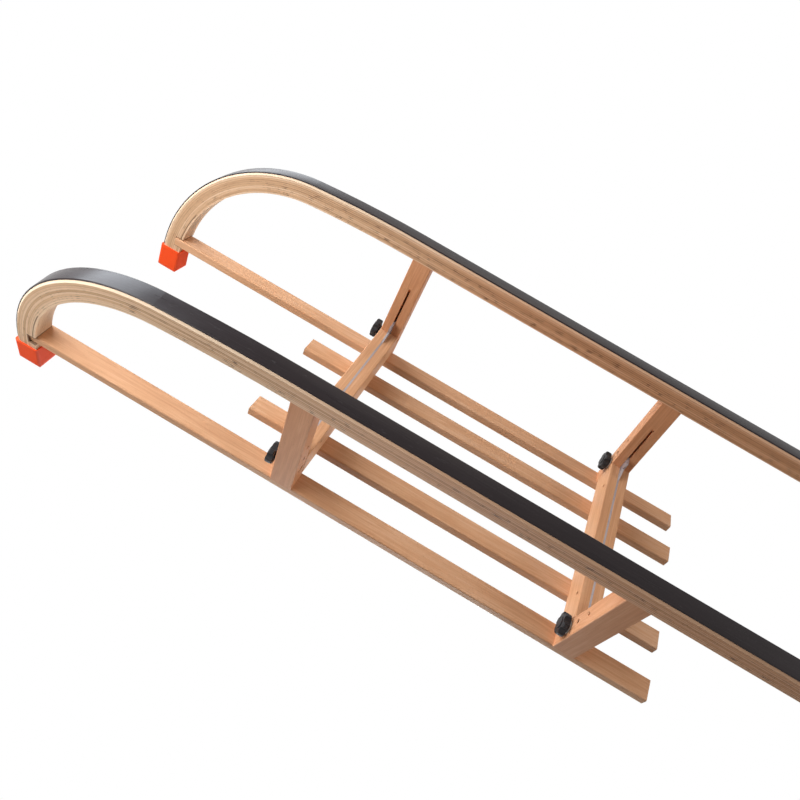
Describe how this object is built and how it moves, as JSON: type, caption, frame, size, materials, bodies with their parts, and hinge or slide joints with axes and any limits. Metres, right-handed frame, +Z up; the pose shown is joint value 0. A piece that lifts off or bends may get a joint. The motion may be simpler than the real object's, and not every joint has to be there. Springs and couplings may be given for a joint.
{
  "type": "folding wooden sledge",
  "caption": "Folding wooden sledge: laminated curled runners with black soles and orange tip caps, slatted seat, and side frames that fold under it on steel joint plates.",
  "frame": {"origin": "on the ground, under the middle of the sledge's bounding box", "axes": "+X forward to the curled tips, +Y to the rider's left, +Z up from the ground through the seat"},
  "size_m": [1.098, 0.3968, 0.298],
  "materials": {
    "beech": "clear lacquered solid beech, satin",
    "laminated_beech": "bent beech plies glued together, clear lacquered, satin",
    "black_sole": "smooth black sliding plastic, slightly glossy",
    "orange_plastic": "moulded orange plastic, satin",
    "black_plastic": "moulded black plastic, satin",
    "steel_plate": "bare rolled steel, dull",
    "zinc_steel": "zinc-plated steel, dull"
  },
  "bodies": {
    "seat_frame": {"front_crossbeam": "beech", "rear_crossbeam": "beech", "front_joint_plate": "steel_plate", "rear_joint_plate": "steel_plate", "left_inner_slat": "beech", "right_inner_slat": "beech", "crossbeam_rivets": "zinc_steel", "seat_screws": "zinc_steel"},
    "left_side_frame": {"left_runner": "laminated_beech", "left_sole": "black_sole", "left_tip_cap": "orange_plastic", "left_outer_slat": "beech", "front_left_leg": "beech", "rear_left_leg": "beech", "left_hinge_pins": "zinc_steel", "left_leg_rivets": "zinc_steel", "left_slat_screws": "zinc_steel", "left_runner_screws": "zinc_steel", "left_clamp_nuts": "zinc_steel", "left_washers": "zinc_steel"},
    "right_side_frame": {"right_runner": "laminated_beech", "right_sole": "black_sole", "right_tip_cap": "orange_plastic", "right_outer_slat": "beech", "front_right_leg": "beech", "rear_right_leg": "beech", "right_hinge_pins": "zinc_steel", "right_leg_rivets": "zinc_steel", "right_slat_screws": "zinc_steel", "right_runner_screws": "zinc_steel", "right_clamp_nuts": "zinc_steel", "right_washers": "zinc_steel"},
    "front_left_clamp": {"front_left_knob": "black_plastic", "front_left_stud": "zinc_steel"},
    "front_right_clamp": {"front_right_knob": "black_plastic", "front_right_stud": "zinc_steel"},
    "rear_left_clamp": {"rear_left_knob": "black_plastic", "rear_left_stud": "zinc_steel"},
    "rear_right_clamp": {"rear_right_knob": "black_plastic", "rear_right_stud": "zinc_steel"}
  },
  "joints": [
    {"name": "fold_left", "type": "hinge", "parent": "seat_frame", "child": "left_side_frame", "pos_m": [0, 0.16267, 0.1596], "axis": [-1, 0, 0], "range_deg": [0, 97]},
    {"name": "fold_right", "type": "hinge", "parent": "seat_frame", "child": "right_side_frame", "pos_m": [0, -0.16267, 0.1596], "axis": [1, 0, 0], "range_deg": [0, 97]},
    {"name": "turn_front_left_knob", "type": "hinge", "parent": "left_side_frame", "child": "front_left_clamp", "pos_m": [0.12, 0.15932, 0.1869], "axis": [1, 0, 0], "continuous": true},
    {"name": "turn_front_right_knob", "type": "hinge", "parent": "right_side_frame", "child": "front_right_clamp", "pos_m": [0.12, -0.15932, 0.1869], "axis": [1, 0, 0], "continuous": true},
    {"name": "turn_rear_left_knob", "type": "hinge", "parent": "left_side_frame", "child": "rear_left_clamp", "pos_m": [-0.32, 0.15932, 0.1869], "axis": [1, 0, 0], "continuous": true},
    {"name": "turn_rear_right_knob", "type": "hinge", "parent": "right_side_frame", "child": "rear_right_clamp", "pos_m": [-0.32, -0.15932, 0.1869], "axis": [1, 0, 0], "continuous": true}
  ]
}
